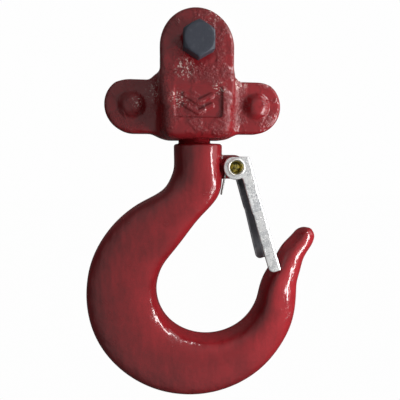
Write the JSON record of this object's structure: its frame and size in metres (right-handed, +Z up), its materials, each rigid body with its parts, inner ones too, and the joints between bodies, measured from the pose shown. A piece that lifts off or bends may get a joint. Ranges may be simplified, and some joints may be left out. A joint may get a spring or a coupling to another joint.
{
  "type": "swivel hook block",
  "caption": "Bottom hook assembly of a chain hoist: riveted two-part yoke with a chain bolt, swivelling forged hook on a thrust bearing, and a sprung safety latch.",
  "frame": {"origin": "middle of the chain bolt, on the axis that the hook swivels about", "axes": "+Z up the load line, +X towards the hook's tip, +Y along the chain bolt from its head to its nut"},
  "size_m": [0.1097, 0.0468, 0.175],
  "materials": {
    "red_paint": "thick glossy red enamel over a drop forging",
    "black_oxide": "black oxide, oiled",
    "zinc_plate": "bright zinc plate, slightly clouded",
    "yellow_zinc": "yellow chromate over zinc",
    "spring_steel": "drawn spring wire",
    "bearing_steel": "ground bearing steel",
    "cage_steel": "pressed and phosphated sheet"
  },
  "bodies": {
    "yoke": {"yoke_front": "red_paint", "yoke_back": "red_paint", "yoke_rivet_left": "red_paint", "yoke_rivet_right": "red_paint", "chain_bolt": "black_oxide", "chain_bolt_washer": "zinc_plate", "chain_bolt_nut": "black_oxide", "chain_bolt_cotter": "zinc_plate", "bearing_lower_race": "bearing_steel"},
    "bearing_ring": {"bearing_balls": "bearing_steel", "bearing_cage": "cage_steel"},
    "hook_body": {"hook": "red_paint", "hook_nut": "black_oxide", "hook_nut_pin": "spring_steel", "bearing_upper_race": "bearing_steel"},
    "latch_body": {"latch": "zinc_plate", "latch_rivet": "yellow_zinc", "latch_spring": "spring_steel"}
  },
  "joints": [
    {"name": "hook_swivel", "type": "hinge", "parent": "yoke", "child": "hook_body", "pos_m": [0, 0, -0.0281], "axis": [0, 0, 1], "continuous": true},
    {"name": "bearing_roll", "type": "hinge", "parent": "yoke", "child": "bearing_ring", "pos_m": [0, 0, -0.0281], "axis": [0, 0, 1], "continuous": true},
    {"name": "latch_hinge", "type": "hinge", "parent": "hook_body", "child": "latch_body", "pos_m": [0.0177, 0, -0.049], "axis": [0, 1, 0], "range_deg": [0, 48], "stiffness_Nm_per_rad": 0.06, "springref_deg": -51.57, "deforming": ["latch_spring"]}
  ],
  "couplings": [
    {"joint": "bearing_roll", "follows": "hook_swivel", "ratio": 0.5}
  ]
}
